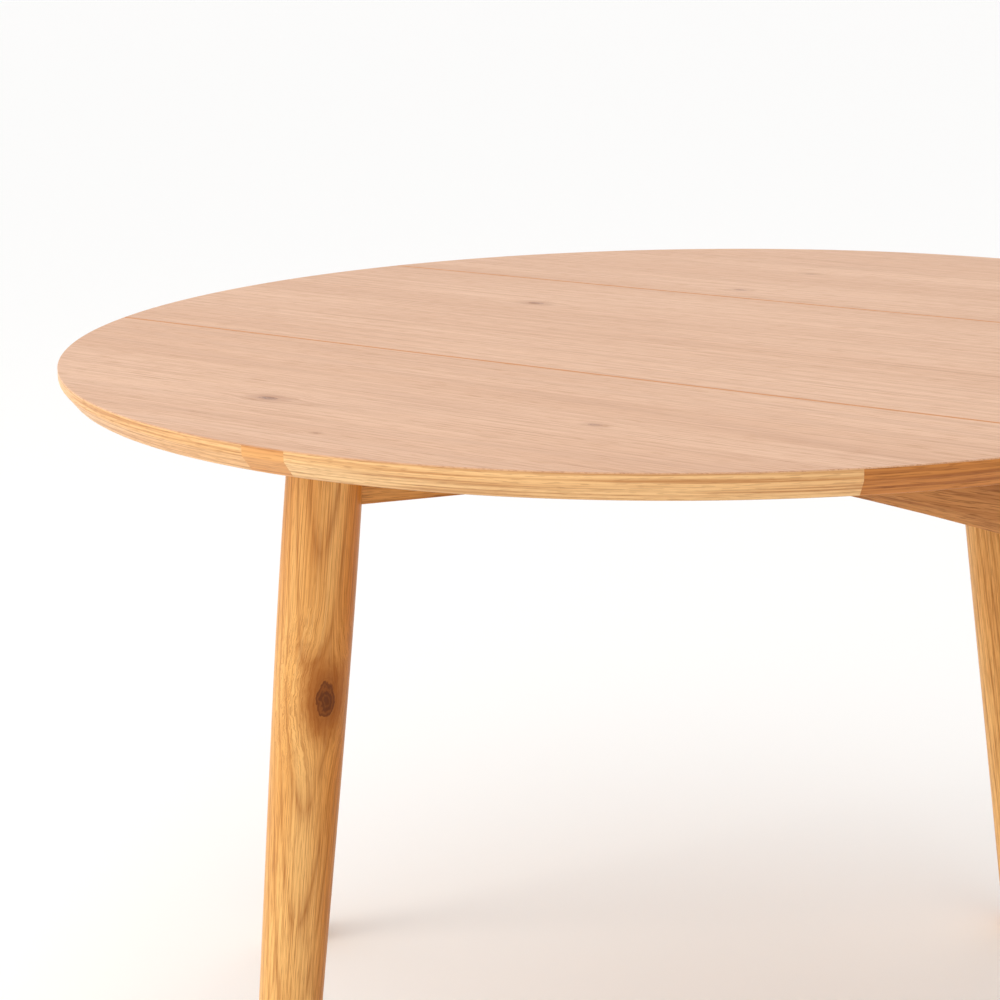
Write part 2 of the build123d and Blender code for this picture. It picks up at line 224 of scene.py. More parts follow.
@dataclass(frozen=True)
class OakFinish:
    """Oak under a clear satin lacquer: open-pored, with growth rings, fibre streaks and knots.

    The rings are shells round a tilted pith, so that a sawn face shows straight grain at its sides and
    cathedral tips along its middle, as real flat-sawn oak does. Lengths are in metres.
    """

    name: str
    pale: str
    middle: str
    dark: str
    pore: str
    ring_spacing: float
    pith_depth: float              # from the face to the pith
    pith_tilt: float               # rise of the pith per metre of length
    pith_across: float = 0.0
    ring_strength: float = 0.5
    streak_strength: float = 0.5
    pore_strength: float = 0.5
    pore_width: float = 0.0011     # wider than real pores, so that they show
    pore_length: float = 0.022
    streak_width: float = 0.0038
    wander: float = 0.02           # how far the rings stray
    roughness: float = 0.42
    coat: float = 0.12
    bump: float = 0.12
    shine: float = 0.5             # mirror strength; 0.5 is plain lacquer, less is an oiled look
    knots: tuple[Knot, ...] = ()
    edging: tuple[float, float] | None = None         # middle and half width of a strip each side of Y = 0
    turned: tuple[float, float, float] | None = None  # degrees from Object axes; None takes the attribute

    def timber_place(self, p: Pattern) -> Socket:
        """Return the place in the timber: along the grain, across it and through it."""
        if self.turned is None:
            return p.node("ShaderNodeAttribute", {"attribute_name": "timber"}).outputs["Vector"]
        place = p.node("ShaderNodeTexCoord").outputs["Object"]
        angles = tuple(math.radians(a) for a in self.turned)
        return p.node("ShaderNodeMapping", Vector=place, Rotation=angles).outputs[0]

    def part_round_knots(self, p: Pattern, place: Socket) -> tuple:
        """Bend the grain round each knot.

        Returns:
            The bent place and the tone of all the knots together.
        """
        tone: object = 0.0
        for knot in self.knots:
            size = knot.half_width
            away = p.vector("SUBTRACT", place, knot.place)
            ragged = p.share(p.noise(place, KNOT_EDGE_GRAIN, 3.0), KNOT_RAGGED * size)
            span = p.math("ADD", p.vector("LENGTH", p.vector("MULTIPLY", away, KNOT_SHAPE)), ragged)
            span = p.math("SUBTRACT", span, 0.5 * KNOT_RAGGED * size)
            pull = p.fade(span, 0.0, KNOT_PUSH_REACH * size)
            shift = p.vector("MULTIPLY", away, (0.0, -KNOT_PUSH, -KNOT_PUSH))
            scaled = p.node("ShaderNodeVectorMath", {"operation": "SCALE"}, i0=shift, Scale=pull)
            place = p.vector("ADD", place, scaled.outputs["Vector"])
            swirl = p.math("SINE", p.share(span, math.tau / (KNOT_RING_SPACING * size)))
            swirl = p.math("MULTIPLY_ADD", swirl, KNOT_RING_TONE, 1.0 - KNOT_RING_TONE)
            heart = p.share(p.fade(span, *(edge * size for edge in KNOT_HEART_EDGE)), swirl)
            stain = p.share(p.fade(span, *(edge * size for edge in KNOT_STAIN_EDGE)), KNOT_STAIN_TONE)
            both = p.math("MAXIMUM", heart, stain)
            tone = p.math("MAXIMUM", tone, p.share(both, knot.depth_of_tone))
        return place, tone

    def rings(self, p: Pattern, place: Socket) -> tuple:
        """Return the ring tone, which peaks once in each ring, and the phase of the growth rings."""
        stray = p.math("SUBTRACT", p.noise(place, RING_STRAY_GRAIN, 2.0), 0.5)
        ripple = p.math("SUBTRACT", p.noise(place, RING_RIPPLE_GRAIN, 2.0), 0.5)
        drift = p.math("ADD", p.share(stray, 2.0 * self.wander), p.share(ripple, 0.3 * self.wander))
        along, over, into = p.node("ShaderNodeSeparateXYZ", Vector=place).outputs
        across = p.math("SUBTRACT", p.math("ADD", over, drift), self.pith_across)
        depth = p.math("ADD", p.math("ADD", into, p.share(along, self.pith_tilt)), self.pith_depth)
        radius = p.vector("LENGTH", p.node("ShaderNodeCombineXYZ", X=0.0, Y=across, Z=depth).outputs[0])
        phase = p.math("FRACT", p.math("DIVIDE", radius, self.ring_spacing))
        peak = p.math("SUBTRACT", 1.0, p.math("ABSOLUTE", p.math("MULTIPLY_ADD", phase, 2.0, -1.0)))
        return p.math("POWER", peak, 3.0), phase

    def pores(self, p: Pattern, place: Socket, phase: Socket) -> Socket:
        """Return the short dark dashes of the open pores, closest together where a ring begins."""
        dash = p.noise(place, (1.0 / self.pore_length, 1.0 / self.pore_width, 1.0 / self.pore_width), 1.0)
        crowd = p.share(p.math("ABSOLUTE", p.math("SUBTRACT", phase, 0.5)), 0.12)
        return p.ease(p.math("ADD", dash, crowd), 0.58, 0.68)

    def edging_strip(self, p: Pattern, place: Socket) -> Socket:
        """Return how much the narrow solid edging along each seam covers the veneer."""
        across = p.node("ShaderNodeSeparateXYZ", Vector=place).outputs[1]
        away = p.math("ABSOLUTE", p.math("SUBTRACT", p.math("ABSOLUTE", across), self.edging[0]))
        return p.share(p.math("LESS_THAN", away, self.edging[1]), EDGING_COVER)

    def figure(self, p: Pattern, place: Socket, ring_tone: Socket, streak: Socket) -> Socket:
        """Return the wood's colour before pores and knots: broad tone, rings, dark streaks, light streaks."""
        fineness = 0.25 / self.streak_width
        broad = p.noise(place, TONE_GRAIN, 2.0)
        wide_streak = p.noise(place, (WIDE_STREAKS_ALONG, fineness, fineness), 2.0)
        colour = p.tint(p.ease(broad, 0.3, 0.7), linear(self.pale), linear(self.middle))
        rings = p.share(ring_tone, p.share(p.ease(wide_streak, 0.25, 0.7), self.ring_strength))
        colour = p.tint(rings, linear(self.dark), colour)
        colour = p.tint(p.share(p.ease(streak, 0.44, 0.66), self.streak_strength), linear(self.dark), colour)
        light = p.share(p.ease(wide_streak, 0.52, 0.75), 0.6 * self.streak_strength)
        return p.tint(light, linear(self.pale), colour)

    def stain_knots(self, p: Pattern, tone: object, colour: Socket) -> Socket:
        """Return the colour with each knot laid over it: a wide stain, a darker edge and the heart."""
        colour = p.tint(p.share(p.ease(tone, 0.0, 0.42), 0.78), linear(self.dark), colour)
        colour = p.tint(p.share(p.ease(tone, 0.28, 0.60), 0.65), linear(self.pore), colour)
        return p.tint(p.share(p.ease(tone, 0.42, 0.88), 0.78), linear(KNOT_HEART), colour)

    def lacquer(self, p: Pattern, streak: Socket, pore_tone: Socket) -> None:
        """Set the roughness, relief and coat of the surface."""
        sheen = p.math("ADD", self.roughness - 0.05, p.share(streak, 0.1))
        p.link(p.math("ADD", sheen, p.share(pore_tone, 0.12)), p.shader.inputs["Roughness"])
        relief = p.math("ADD", p.share(pore_tone, -1.0), p.share(streak, 0.35))
        bump = p.node("ShaderNodeBump", Strength=self.bump, Distance=BUMP_DEPTH, Height=relief)
        p.link(bump.outputs[0], p.shader.inputs["Normal"])
        p.shader.inputs["IOR"].default_value = LACQUER_IOR
        p.shader.inputs["Specular IOR Level"].default_value = self.shine
        p.shader.inputs["Coat Weight"].default_value = self.coat
        p.shader.inputs["Coat Roughness"].default_value = COAT_ROUGHNESS

    def material(self) -> bpy.types.Material:
        """Build the finish."""
        p = Pattern(self.name)
        straight = self.timber_place(p)
        place, knot_tone = self.part_round_knots(p, straight)
        ring_tone, phase = self.rings(p, place)
        fineness = 1.0 / self.streak_width
        streak = p.noise(place, (STREAKS_ALONG, fineness, fineness), 3.0)
        pore_tone = self.pores(p, place, phase)
        colour = self.figure(p, place, ring_tone, streak)
        colour = p.tint(p.share(pore_tone, self.pore_strength), linear(self.pore), colour)
        colour = self.stain_knots(p, knot_tone, colour)
        if self.edging is not None:
            colour = p.tint(self.edging_strip(p, straight), linear(EDGING_TONE), colour)
        p.link(colour, p.shader.inputs["Base Color"])
        self.lacquer(p, streak, pore_tone)
        return p.material


ROLLED_GRAIN = (150.0, 2500.0, 900.0)
TARNISH_GRAIN = (60.0, 60.0, 60.0)
TARNISH = "8f9296"


@dataclass(frozen=True)
class MetalFinish:
    """Zinc-plated steel: a cool grey with a fine rolled grain and soft cloudy tarnish."""

    name: str
    colour: str
    roughness: float

    def material(self) -> bpy.types.Material:
        """Build the finish."""
        p = Pattern(self.name)
        place = p.node("ShaderNodeTexCoord").outputs["Object"]
        grain = p.noise(place, ROLLED_GRAIN, 2.0)
        cloud = p.noise(place, TARNISH_GRAIN, 3.0)
        worn = p.tint(p.share(cloud, 0.35), linear(TARNISH), linear(self.colour))
        p.link(worn, p.shader.inputs["Base Color"])
        rough = p.math("ADD", self.roughness, p.share(p.math("SUBTRACT", grain, 0.5), 0.25))
        p.link(rough, p.shader.inputs["Roughness"])
        bump = p.node("ShaderNodeBump", Strength=0.08, Distance=0.0001, Height=grain)
        p.link(bump.outputs[0], p.shader.inputs["Normal"])
        p.shader.inputs["Metallic"].default_value = 1.0
        return p.material


@dataclass(frozen=True)
class SoftFinish:
    """Moulded nylon or pressed felt: one tone broken up by a fine speckle."""

    name: str
    colour: str
    speckle: str
    grit: float
    roughness: float
    bump: float

    def material(self) -> bpy.types.Material:
        """Build the finish."""
        p = Pattern(self.name)
        place = p.node("ShaderNodeTexCoord").outputs["Object"]
        spots = p.noise(place, (1.0 / self.grit,) * 3, 3.0)
        colour = p.tint(p.ease(spots, 0.4, 0.7), linear(self.speckle), linear(self.colour))
        p.link(colour, p.shader.inputs["Base Color"])
        bump = p.node("ShaderNodeBump", Strength=self.bump, Distance=0.0003, Height=spots)
        p.link(bump.outputs[0], p.shader.inputs["Normal"])
        p.shader.inputs["Roughness"].default_value = self.roughness
        return p.material


TOP_KNOTS = (
    Knot((-0.127, -0.450, 0.75), 0.0080, 0.78),
    Knot((-0.250, 0.077, 0.75), 0.0075, 0.72),
    Knot((0.178, -0.391, 0.75), 0.0050, 0.62),
    Knot((0.008, -0.537, 0.75), 0.0024, 0.60),
    Knot((-0.117, 0.258, 0.75), 0.0060, 0.60),
    Knot((-0.114, 0.392, 0.75), 0.0050, 0.50),
)
LEG_FACE = -47.0                   # degrees from +X; the way the front gate leg's flat-sawn face looks
LEG_KNOTS = (Knot((0.501, 0.0125, -0.0300), 0.0118, 1.00),)
SEAM_EDGING = (213.0 * MM, 2.6 * MM)   # middle and half width of the edging along each seam


class Finish(Enum):
    """Every finish of the table. Each value makes its own material once."""

    VENEER = OakFinish(
        "flat_sawn_oak_veneer", "dfb08a", "d4a178", "b37b52", "9f6a44", 0.0062, 0.09, 0.012, -0.41,
        ring_strength=0.46, streak_strength=0.56, pore_strength=0.28, pore_length=0.030, pore_width=0.0012,
        streak_width=0.0014, wander=0.007, roughness=0.46, coat=0.05, bump=0.05,
        knots=TOP_KNOTS, edging=SEAM_EDGING,
    )
    LIPPING = OakFinish(
        "bent_solid_oak_lipping", "f6cf96", "e2a562", "a9641f", "8f5220", 0.0050, 0.05, 0.05,
        ring_strength=0.60, streak_strength=0.62, pore_strength=0.30, pore_length=0.016, streak_width=0.0022,
        wander=0.010, shine=0.35,
    )
    KEY = OakFinish(
        "pale_oak_key", "ecb472", "dc9a55", "b36d31", "94592a", 0.005, 0.04, 0.05,
        ring_strength=0.35, streak_strength=0.55, pore_strength=0.30, wander=0.010, shine=0.30,
    )
    RED_LIPPING = OakFinish(
        "red_brown_oak_lipping", "cb833f", "b36424", "823f0e", "6c350d", 0.005, 0.05, 0.05,
        ring_strength=0.50, streak_strength=0.55, pore_strength=0.40, wander=0.010, shine=0.20,
    )
    LEG = OakFinish(
        "turned_oak_leg", "fac87f", "d3842a", "9a510e", "78390a", 0.0074, 0.1973, -0.055,
        ring_strength=0.88, streak_strength=0.52, pore_strength=0.28, pore_length=0.020, pore_width=0.0006,
        streak_width=0.0009, wander=0.004, roughness=0.38, coat=0.04, bump=0.18, shine=0.15,
    )
    KNOTTY_LEG = replace(LEG, name="turned_oak_leg_with_a_knot", knots=LEG_KNOTS)
    RAIL = OakFinish(
        "sawn_oak_rail", "cb8f52", "b6773d", "884a1a", "6c3a12", 0.006, 0.06, 0.10,
        ring_strength=0.5, streak_strength=0.55, pore_strength=0.5, shine=0.2, turned=(0.0, 0.0, 0.0),
    )
    CROSS_RAIL = replace(RAIL, name="sawn_oak_cross_rail", turned=(0.0, 0.0, -90.0))
    CORE = OakFinish(
        "balancing_oak_veneer", "e2bd92", "d8ac7e", "b88556", "9a6a3e", 0.012, 0.08, 0.12,
        ring_strength=0.35, streak_strength=0.35, pore_strength=0.35, turned=(0.0, 0.0, 0.0),
    )
    ARM = OakFinish(
        "sawn_oak_arm", "dc9f58", "c88539", "96551a", "744014", 0.005, 0.05, 0.08,
        ring_strength=0.5, streak_strength=0.55, pore_strength=0.5, shine=0.2, turned=(0.0, 0.0, -57.0),
    )
    BEECH = OakFinish(
        "planed_beech", "e9c699", "dcb381", "c29259", "b07f4c", 0.009, 0.06, 0.09,
        ring_strength=0.25, streak_strength=0.3, pore_strength=0.4, pore_length=0.003,
        turned=(0.0, 0.0, -90.0),
    )
    ZINC = MetalFinish("zinc_plated_steel", "c9cbce", 0.34)
    PIN_STEEL = MetalFinish("drawn_steel", "b9bbbe", 0.26)
    NYLON = SoftFinish("moulded_nylon", "e6e2d6", "d9d4c4", 0.0008, 0.5, 0.05)
    FELT = SoftFinish("pressed_felt", "6f5c47", "8a765e", 0.0005, 0.95, 0.6)

    def material(self) -> bpy.types.Material:
        """Return the finish's material, made on first use."""
        made = bpy.data.materials.get(self.value.name)
        return made or self.value.material()


# ---------------------------------------------------------------- surfaces
def rounded_outline(corners: list[tuple[float, float]], radii: list[float], steps: int = 4) -> np.ndarray:
    """Round the corners of a closed outline.

    Each corner is replaced by a quadratic curve that leaves one side and joins the next, both at the corner's
    radius from it.

    Args:
        corners: the outline's corners in order.
        radii: how far from each corner its curve starts.
        steps: points on each curve, less one.

    Returns:
        Points as rows.
    """
    here = np.asarray(corners, float)
    before, after = np.roll(here, 1, 0) - here, np.roll(here, -1, 0) - here
    reach = np.asarray(radii, float)[:, None]
    start = here + before / np.linalg.norm(before, axis=1, keepdims=True) * reach
    end = here + after / np.linalg.norm(after, axis=1, keepdims=True) * reach
    t = np.linspace(0.0, 1.0, steps + 1)[None, :, None]
    curve = (1 - t) ** 2 * start[:, None] + 2 * t * (1 - t) * here[:, None] + t**2 * end[:, None]
    return curve.reshape(-1, 2)


def build_mesh(
    name: str, points: np.ndarray, faces: list, timber: np.ndarray | None, angle: float
) -> bpy.types.Object:
    """Put points and faces into an object with smooth shading between sharp edges.

    Args:
        name: the piece's name.
        points: corners in metres, in the table's frame.
        faces: corner numbers of each face.
        timber: each corner's place along, across and through its timber, or None.
        angle: edges sharper than this many degrees stay sharp.

    Returns:
        The linked object.
    """
    mesh = bpy.data.meshes.new(name)
    mesh.from_pydata(points.tolist(), [], faces)
    if timber is not None:
        layer = mesh.attributes.new("timber", "FLOAT_VECTOR", "POINT")
        layer.data.foreach_set("vector", timber.astype(np.float32).ravel())
    mesh.validate()
    mesh.shade_smooth()
    mesh.set_sharp_from_angle(angle=math.radians(angle))
    made = bpy.data.objects.new(name, mesh)
    bpy.context.scene.collection.objects.link(made)
    return made


def grid_faces(rows: int, columns: int) -> list[list[int]]:
    """Return the four-sided faces of a grid of points, each row a loop that closes on itself."""
    first = np.arange((rows - 1) * columns).reshape(rows - 1, columns)
    beside = np.roll(first, -1, 1)
    quads = np.stack([first, beside, beside + columns, first + columns], -1)
    return quads.reshape(-1, 4).tolist()


def capped_faces(rows: int, columns: int) -> list[list[int]]:
    """Return the faces of a stack of loops that is closed at both ends."""
    last = (rows - 1) * columns
    ends = [list(range(columns))[::-1], [last + i for i in range(columns)]]
    return grid_faces(rows, columns) + ends


def outward(made: bpy.types.Object) -> bpy.types.Object:
    """Turn a closed surface the right way out where its volume comes out negative."""
    mesh = made.data
    mesh.calc_loop_triangles()
    corners = np.empty(len(mesh.vertices) * 3)
    mesh.vertices.foreach_get("co", corners)
    corners = corners.reshape(-1, 3)
    ids = np.empty(len(mesh.loop_triangles) * 3, dtype=np.int32)
    mesh.loop_triangles.foreach_get("vertices", ids)
    a, b, c = corners[ids.reshape(-1, 3)].transpose(1, 0, 2)
    if np.einsum("ij,ij->i", a, np.cross(b, c)).sum() < 0:
        mesh.flip_normals()
    return made


def spin(points: np.ndarray, degrees: float, centre: tuple[float, float] = (0.0, 0.0)) -> np.ndarray:
    """Return points turned about the upright axis, then moved to a centre."""
    a = math.radians(degrees)
    turned = points.copy()
    turned[:, 0] = points[:, 0] * math.cos(a) - points[:, 1] * math.sin(a) + centre[0]
    turned[:, 1] = points[:, 0] * math.sin(a) + points[:, 1] * math.cos(a) + centre[1]
    return turned


def finish_piece(made: bpy.types.Object, body: str, finish: Finish, slot: str, *nodes: str) -> None:
    """Dress a piece, hang it on its body and let it stand for its CAD nodes."""
    made.data.materials.append(finish.material())
    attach(made, body)
    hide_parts(*nodes)
    LOG.info("%s on %s, %d faces", made.name, body, len(made.data.polygons))


# ---------------------------------------------------------------- the top
@dataclass
class RoundTop:
    """Centre board and two leaves: veneered faces with a curved, under-bevelled lipping."""

    radius: float
    underside: float
    surface: float
    board_edge: float
    leaf_edge: float
    veneer: float = 1.0 * MM
    lipping_width: float = 36.0 * MM
    bevel_inset: float = 11.5 * MM
    bevel_height: float = 14.4 * MM
    softening: float = 0.4 * MM
    joint_angles: tuple[float, ...] = (-136.0, -91.3, -87.0, -43.0)
    segment_names: tuple[str, ...] = ("left", "middle_left", "key", "middle_right", "right")
    rim_points: int = 240
    board_steps: int = 48
    leaf_steps: int = 64
    key_steps: int = 8
    sharp_angle: float = 25.0

    def seam_angle(self, radius: np.ndarray, edge: float) -> np.ndarray:
        """Angle from the X axis at which a circle meets a seam."""
        return np.arcsin(edge / radius)

    def profile(self) -> np.ndarray:
        """Closed section of the lipping: radius and height."""
        inner = self.radius - self.lipping_width
        corners = [
            (inner, self.underside),
            (self.radius - self.bevel_inset, self.underside),
            (self.radius, self.underside + self.bevel_height),
            (self.radius, self.surface - self.veneer),
            (inner, self.surface - self.veneer),
        ]
        return rounded_outline(corners, [0.05 * MM, 1.6 * MM, 1.8 * MM, 0.05 * MM, 0.05 * MM])

    def lipping(self, name: str, limits: tuple, steps: int, turn: float, shift: float) -> bpy.types.Object:
        """Carry the section round the rim between two end cuts.

        A point is at radius r from the section and at the angle that is a share t of the way from the first
        end cut's angle at r to the second's. A butt joint has the same angle at every radius, and a cut along
        a seam has the arc sine of the seam's offset over r.

        Args:
            name: the piece's name.
            limits: two functions from radius to angle in radians.
            steps: sections along the piece.
            turn: degrees about the upright axis.
            shift: metres added along the grain, so that no two pieces match.

        Returns:
            The piece.
        """
        section = self.profile()
        radius, height = section[:, 0], section[:, 1]
        share = np.linspace(0.0, 1.0, steps)[:, None]
        angle = limits[0](radius) * (1 - share) + limits[1](radius) * share
        level = np.broadcast_to(height, angle.shape)
        points = np.stack([radius * np.cos(angle), radius * np.sin(angle), level], -1).reshape(-1, 3)
        along = angle * self.radius + shift
        across = level - self.underside + 0.3 * shift
        through = np.broadcast_to(radius - self.radius, angle.shape)
        timber = np.stack([along, across, through], -1).reshape(-1, 3)
        faces = capped_faces(steps, len(section))
        return outward(build_mesh(name, spin(points, turn), faces, timber, self.sharp_angle))

    def leaf_limits(self, index: int) -> tuple:
        """Return the end cuts of one lipping piece of the front leaf."""
        ends = []
        for number in (index - 1, index):
            if 0 <= number < len(self.joint_angles):
                fixed = math.radians(self.joint_angles[number])
                ends.append(lambda r, a=fixed: np.full_like(r, a))
            elif number < 0:
                ends.append(lambda r: -np.pi + self.seam_angle(r, self.leaf_edge))
            else:
                ends.append(lambda r: -self.seam_angle(r, self.leaf_edge))
        return tuple(ends)

    def sheet_outline(self, inset: float, leaf: bool) -> np.ndarray:
        """Edge of one veneer sheet, drawn in by an inset: arcs of the rim joined by straight seam edges."""
        rim = self.radius - inset
        if leaf:
            edge = self.leaf_edge + inset
            limit = math.asin(edge / rim)
            angle = np.linspace(-math.pi + limit, -limit, self.rim_points)
            return np.stack([rim * np.cos(angle), rim * np.sin(angle)], -1)
        limit = math.asin((self.board_edge - inset) / rim)
        angle = np.linspace(-limit, limit, self.rim_points // 2)
        angle = np.concatenate([angle, angle + math.pi])
        return np.stack([rim * np.cos(angle), rim * np.sin(angle)], -1)

    def veneer_sheet(self, name: str, leaf: bool, turn: float) -> bpy.types.Object:
        """Stack three outlines of a sheet, the top one drawn in by the softening, and close both faces."""
        low, high = self.surface - self.veneer, self.surface
        levels = ((low, 0.0), (high - self.softening, 0.0), (high, self.softening))
        loops = []
        for height, inset in levels:
            flat = self.sheet_outline(inset, leaf)
            loops.append(np.column_stack([flat, np.full(len(flat), height)]))
        points = spin(np.concatenate(loops), turn)
        faces = capped_faces(len(levels), len(loops[0]))
        return outward(build_mesh(name, points, faces, points, self.sharp_angle))

    def build(self) -> None:
        """Make and dress the top."""
        cut = self.seam_angle
        board = (lambda r: -cut(r, self.board_edge), lambda r: cut(r, self.board_edge))
        for side, turn, shift in (("right", 0.0, 3.1), ("left", 180.0, 5.4)):
            name = f"centre_board_lipping_{side}"
            made = self.lipping(name + "_curve", board, self.board_steps, turn, shift)
            finish_piece(made, "frame", Finish.LIPPING, "oak_lipping", name)
        sheet = self.veneer_sheet("centre_board_face", False, 0.0)
        finish_piece(sheet, "frame", Finish.VENEER, "veneered_top", "centre_board_veneer")
        for side, turn in (("front", 0.0), ("back", 180.0)):
            sheet = self.veneer_sheet(f"{side}_leaf_face", True, turn)
            finish_piece(sheet, f"{side}_leaf", Finish.VENEER, "veneered_top", f"{side}_leaf_veneer")
            for index, place in enumerate(self.segment_names):
                name = f"{side}_leaf_lipping_{place}"
                steps = self.key_steps if place == "key" else self.leaf_steps
                shift = 1.7 * index + 0.01 * turn
                made = self.lipping(name + "_curve", self.leaf_limits(index), steps, turn, shift)
                finish = {"key": Finish.KEY, "right": Finish.RED_LIPPING}.get(place, Finish.LIPPING)
                finish_piece(made, f"{side}_leaf", finish, "oak_lipping", name)


# ---------------------------------------------------------------- legs
@dataclass
class TurnedLeg:
    """Round tapered oak leg, swelling below its head, with both ends cut level."""

    splay: float = 6.0
    foot_radius: float = 24.7 * MM
    heights: tuple[float, ...] = (0.0, 200.0, 400.0, 560.0, 630.0, 770.0)
    radii: tuple[float, ...] = (24.7, 27.8, 31.0, 33.0, 33.2, 31.4)
    floor_gap: float = 4.0 * MM
    foot_round: float = 3.0 * MM
    sides: int = 96
    rows: int = 150
    foot_rows: int = 9
    foot_share: float = 0.006      # share of the leg's length that the rounded foot takes

    def radius_at(self, height: np.ndarray) -> np.ndarray:
        """Smooth leg radius: the one curve of degree five through the turner's six stations."""
        stations = np.asarray(self.heights)
        curve = np.polyfit(stations / stations[-1], np.asarray(self.radii), len(stations) - 1)
        return np.polyval(curve, height / MM / stations[-1]) * MM

    def build(
        self, name: str, reach: float, head: float, underside: float, turn: float, centre: tuple, face: float
    ) -> bpy.types.Object:
        """Wrap the radius round the splayed axis between two level cuts.

        A point is on the axis at height h plus the radius at h in a direction square to the axis. The limits
        of h depend on that direction, because a level cut across a splayed leg is not square to it. Near the
        floor the radius shrinks by a quarter circle, which rounds the foot.

        Args:
            name: the piece's name.
            reach: distance of the axis from the local origin, at the top's underside.
            head: height of the upper cut.
            underside: height of the top's underside.
            turn: degrees about the upright axis.
            centre: where the local origin goes.
            face: the way the flat-sawn face looks, in degrees from +X.

        Returns:
            The piece.
        """
        lean = math.radians(self.splay)
        axis = np.array([-math.sin(lean), 0.0, math.cos(lean)])
        side = np.array([math.cos(lean), 0.0, math.sin(lean)])
        other = np.array([0.0, 1.0, 0.0])
        foot = np.array([reach + math.tan(lean) * (underside - self.floor_gap), 0.0, self.floor_gap])
        around = np.linspace(0.0, 2 * np.pi, self.sides, endpoint=False)
        out = np.cos(around)[:, None] * side + np.sin(around)[:, None] * other
        limits = []
        for level in (self.floor_gap, head):
            height = np.full(self.sides, (level - self.floor_gap) / axis[2])
            for _ in range(4):
                height = (level - self.floor_gap - self.radius_at(height) * out[:, 2]) / axis[2]
            limits.append(height)
        foot_rows = np.linspace(0, 1, self.foot_rows) ** 2 * self.foot_share
        share = np.concatenate([foot_rows, np.linspace(self.foot_share, 1, self.rows)[1:]])[:, None]
        height = limits[0] * (1 - share) + limits[1] * share
        radius = self.radius_at(height)
        rise = np.clip((height - limits[0]) * axis[2], 0.0, self.foot_round)
        corner = self.foot_round - rise
        radius = radius - self.foot_round + np.sqrt(np.maximum(self.foot_round**2 - corner**2, 0.0))
        points = foot + height[..., None] * axis + radius[..., None] * out
        across, through = radius * np.cos(around), radius * np.sin(around)
        timber = np.stack([height, across, through], -1).reshape(-1, 3)
        points = spin(points.reshape(-1, 3), turn, centre)
        timber = self.face_timber(timber, face - turn)
        faces = capped_faces(len(share), self.sides)
        return outward(build_mesh(name, points, faces, timber, 40.0))

    def face_timber(self, timber: np.ndarray, turn: float) -> np.ndarray:
        """Turn the timber's across and through directions so that its flat-sawn face looks the stated way."""
        facing = math.radians(turn)
        across = timber[:, 1] * -math.sin(facing) + timber[:, 2] * math.cos(facing)
        through = -(timber[:, 1] * math.cos(facing) + timber[:, 2] * math.sin(facing))
        return np.stack([timber[:, 0], across, through], -1)


@dataclass
class Glide:
    """Nylon glide: a disc with a rounded rim."""

    radius: float = 16.0 * MM
    thickness: float = 4.0 * MM
    sides: int = 48

    def build(self, name: str, x: float, y: float) -> bpy.types.Object:
        """Turn the rounded half section about an upright axis."""
        axis, sharp = 0.001 * MM, 0.0001 * MM
        corners = [(axis, 0.0), (self.radius, 0.0), (self.radius, self.thickness), (axis, self.thickness)]
        section = rounded_outline(corners, [sharp, 1.5 * MM, 0.4 * MM, sharp])
        around = np.linspace(0.0, 2 * np.pi, self.sides, endpoint=False)[None, :]
        section = section[1:-1]
        ring = [section[:, :1] * np.cos(around) + x, section[:, :1] * np.sin(around) + y]
        level = np.broadcast_to(section[:, 1:], ring[0].shape)
        points = np.stack([*ring, level], -1).reshape(-1, 3)
        return outward(build_mesh(name, points, capped_faces(len(section), self.sides), None, 50.0))


@dataclass
class Legs:
    """Two fixed legs at the ends and one leg on each gate, with their glides."""

    underside: float
    block_bottom: float
    gate_leg_top: float
    pivot: tuple[float, float]
    fixed_reach: float = 480.0 * MM
    arm_length: float = 327.5 * MM
    open_angle: float = 237.0
    leg: TurnedLeg = field(default_factory=TurnedLeg)
    glide: Glide = field(default_factory=Glide)

    def build(self) -> None:
        """Make and dress all four legs and glides."""
        places = []
        for side, turn in (("right", 0.0), ("left", 180.0)):
            places.append((f"{side}_leg", "frame", self.fixed_reach, self.block_bottom, turn, (0.0, 0.0)))
        for side, flip in (("front", 1), ("back", -1)):
            centre = (flip * self.pivot[0], flip * self.pivot[1])
            turn = self.open_angle if flip > 0 else self.open_angle - 180.0
            body = f"{side}_gate"
            places.append((f"{side}_gate_leg", body, self.arm_length, self.gate_leg_top, turn, centre))
        for name, body, reach, head, turn, centre in places:
            knotty = name == "front_gate_leg"
            face = LEG_FACE if knotty else LEG_FACE + 0.7 * turn
            made = self.leg.build(name + "_turned", reach, head, self.underside, turn, centre, face)
            finish_piece(made, body, Finish.KNOTTY_LEG if knotty else Finish.LEG, "leg_oak", name)
            glide_node = name.replace("gate_leg", "gate_glide") if "gate" in name else name + "_glide"
            low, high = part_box(glide_node)
            middle = [(low[i] + high[i]) / 2 for i in range(2)]
            pad = self.glide.build(glide_node + "_disc", *middle)
            finish_piece(pad, body, Finish.NYLON, "nylon", glide_node)


